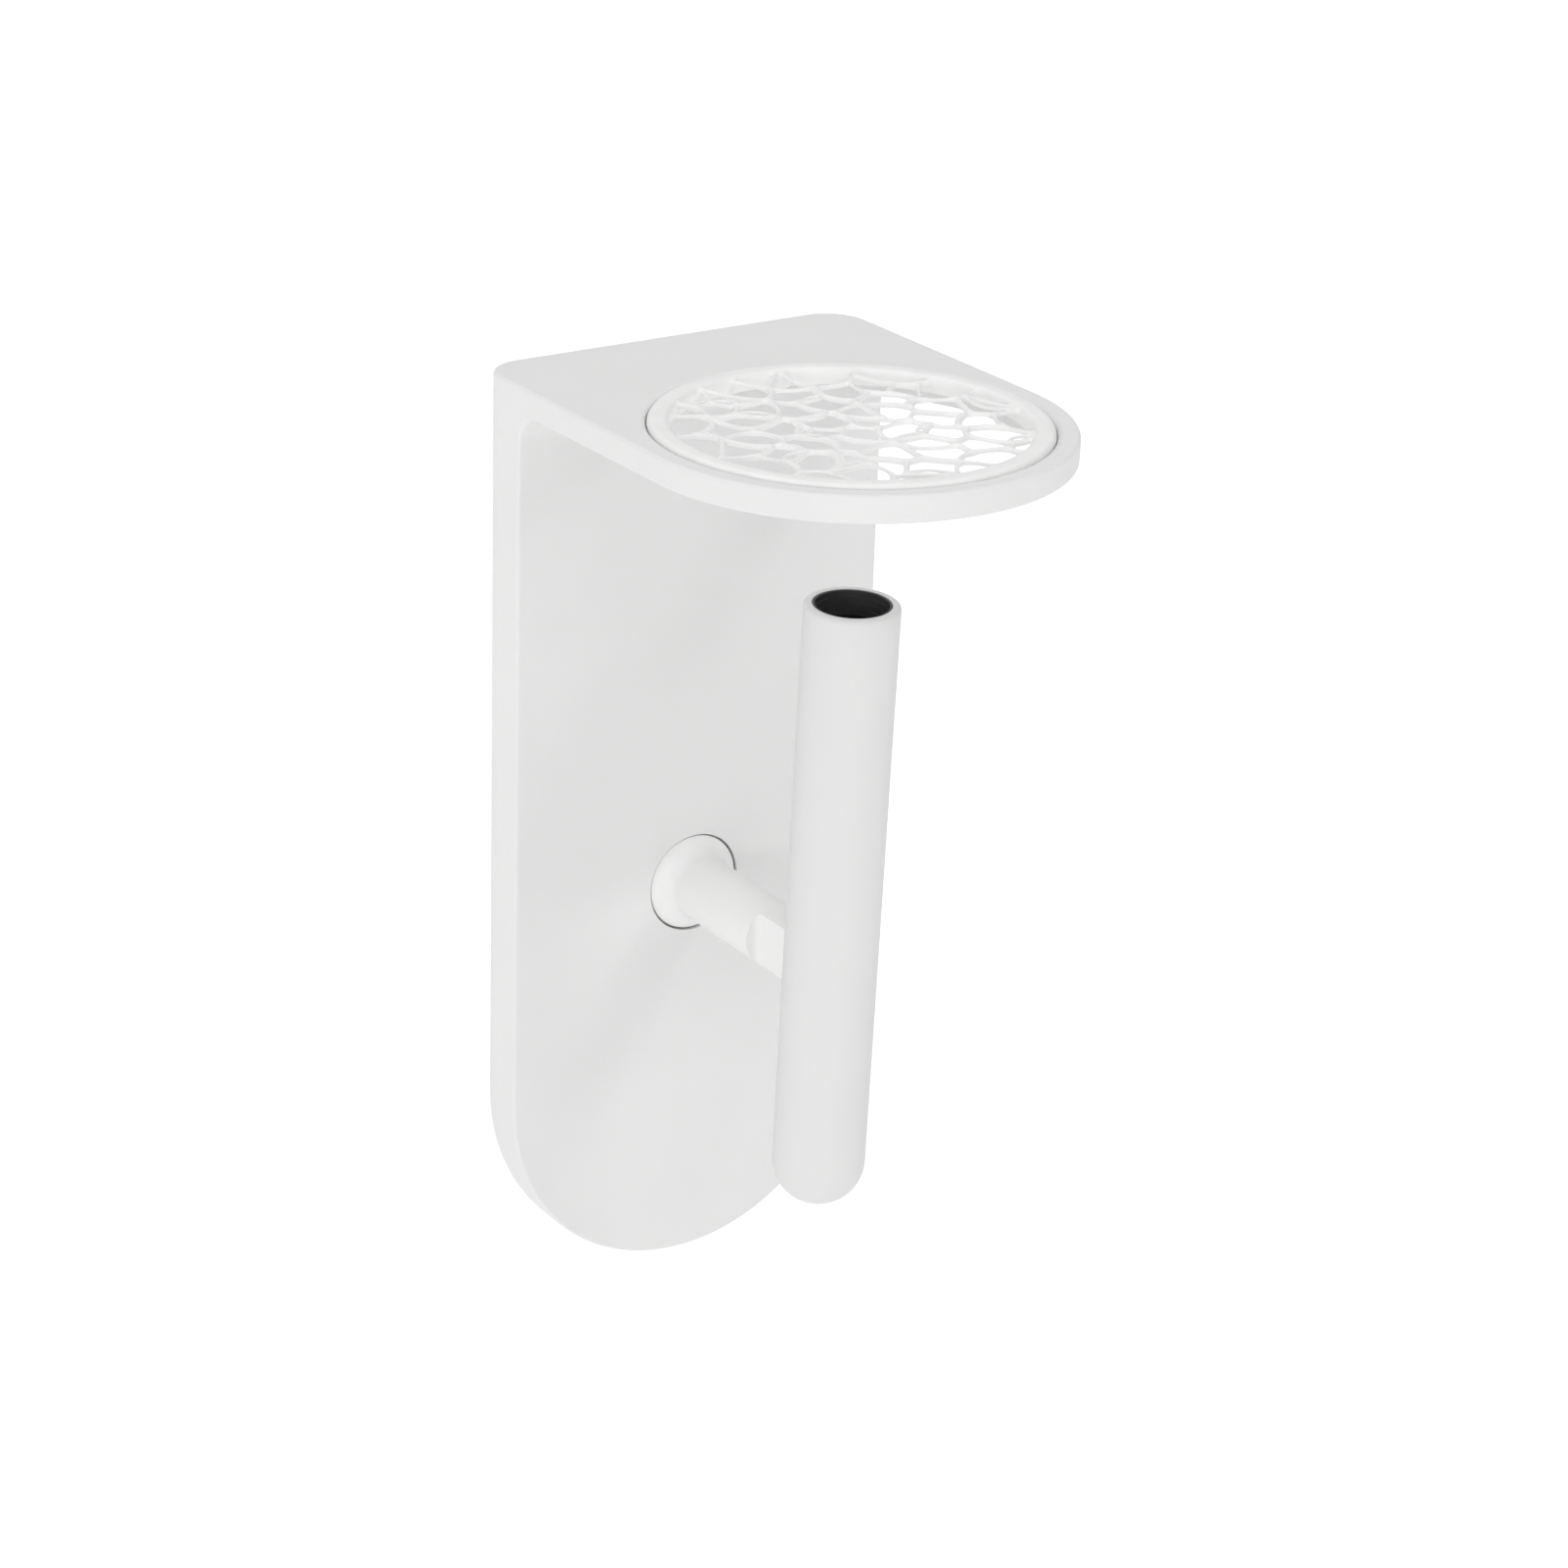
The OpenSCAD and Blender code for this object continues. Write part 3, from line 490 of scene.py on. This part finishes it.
def add_net(shape, net_r):
    """All strands, round and a little bowed, with knots where they meet."""
    net = Net(net_r)
    chance = random.Random(RANDOM_SEED)
    heights = [chance.uniform(-STRAND_SWING, STRAND_SWING) for _ in net.corners]
    points = []
    for corner, height in zip(net.corners, heights):
        if corner.length > net.edge_r - INTO_RIM:
            corner = corner * ((net_r + INTO_RIM) / corner.length)
        points.append(Vector((corner.x, corner.y, height)))
    doubled = set(chance.sample(sorted(net.strands), DOUBLED))
    for ends, beside in sorted(net.strands.items()):
        start, end = points[ends[0]], points[ends[1]]
        length = (end - start).length
        across = Vector((start.y - end.y, end.x - start.x, 0)).normalized()
        size = STRAND_R * chance.uniform(*STRAND_SPREAD)
        bow = across * length * chance.uniform(-STRAND_BOW, STRAND_BOW)
        add_strand(shape, start, end, bow, size)
        if ends in doubled and length > DOUBLED_FROM:
            toward = (Vector((*beside[0], 0)) - (start + end) / 2).normalized()
            bow = toward * length * chance.uniform(*DOUBLED_BOW) + Vector((0, 0, DOUBLED_RISE))
            add_strand(shape, start, end, bow, STRAND_R * DOUBLED_SIZE)
    flat = Matrix.Diagonal((1, 1, STRAND_FLAT, 1))
    for point in points:
        bmesh.ops.create_icosphere(
            shape, subdivisions=2, radius=JOINT_R, matrix=Matrix.Translation(point) @ flat
        )


def rim_profile(inner, outer, low, high):
    """The rim's section as (radius, height): collar, flange and two rounded top edges."""
    step = high - RIM_FLANGE
    section = [(inner, low), (inner + RIM_COLLAR, low), (inner + RIM_COLLAR, step), (outer, step)]
    for middle, first in ((outer - RIM_ROUND, 0), (inner + RIM_ROUND, math.pi / 2)):
        for k in range(ROUND_STEPS + 1):
            t = first + math.pi / 2 * k / ROUND_STEPS
            out, up = RIM_ROUND * math.cos(t), RIM_ROUND * math.sin(t)
            section.append((middle + out, high - RIM_ROUND + up))
    return section


def add_rim(shape, section):
    """The section, swept once round."""
    rings = []
    for k in range(RIM_STEPS):
        t = 2 * math.pi * k / RIM_STEPS
        rings.append([shape.verts.new((r * math.cos(t), r * math.sin(t), z)) for r, z in section])
    for k, ring in enumerate(rings):
        before = rings[k - 1]
        for j in range(len(section)):
            shape.faces.new((before[j], ring[j], ring[j - 1], before[j - 1]))


def make_disc():
    """The openwork disc, strands and rim grown together as in one moulding."""
    low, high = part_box("lattice_disc")
    middle = (low + high) / 2
    outer = (high.x - low.x) / 2
    inner = outer - RIM_W
    top = high.z - BELOW_TOP
    level = top - RIM_PROUD - NET_MIDDLE
    shape = bmesh.new()
    add_net(shape, inner)
    add_rim(shape, rim_profile(inner, outer, low.z - level, top - level))
    bmesh.ops.recalc_face_normals(shape, faces=shape.faces)
    mesh = bpy.data.meshes.new("net_disc")
    shape.to_mesh(mesh)
    shape.free()
    disc = bpy.data.objects.new("net_disc", mesh)
    disc.location = (middle.x, middle.y, level)
    bpy.context.scene.collection.objects.link(disc)
    remesh = disc.modifiers.new("grown together", "REMESH")
    remesh.mode = "VOXEL"
    remesh.voxel_size = VOXEL * 1
    remesh.use_smooth_shade = True
    soft = disc.modifiers.new("soft", "SMOOTH")
    soft.factor = 0.5
    soft.iterations = SMOOTHINGS
    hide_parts("lattice_disc")
    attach(disc, "disc")
    return disc


# ---------------------------------------------------------------- scene

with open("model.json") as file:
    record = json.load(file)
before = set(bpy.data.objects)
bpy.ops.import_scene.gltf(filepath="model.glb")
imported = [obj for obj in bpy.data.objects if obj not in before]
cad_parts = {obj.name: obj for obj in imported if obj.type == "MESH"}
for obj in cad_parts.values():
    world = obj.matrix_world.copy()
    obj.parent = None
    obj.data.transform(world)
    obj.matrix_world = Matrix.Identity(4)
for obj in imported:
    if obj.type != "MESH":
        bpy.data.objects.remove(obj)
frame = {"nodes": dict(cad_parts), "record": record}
cad_low, cad_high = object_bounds()
middle = (cad_low + cad_high) / 2
bpy.context.scene.view_settings.view_transform = "Standard"

make_camera(middle)
make_lights(middle)
make_room()
make_floor(cad_low.z)

finishes = make_finishes()
slots = {part["node"]: part["material_slot"] for part in frame["record"]["subparts"]}
for name, node in frame["nodes"].items():
    node.data.materials.clear()
    node.data.materials.append(finishes[slots[name]])

disc = make_disc()
disc.data.materials.append(finishes["disc_white"])
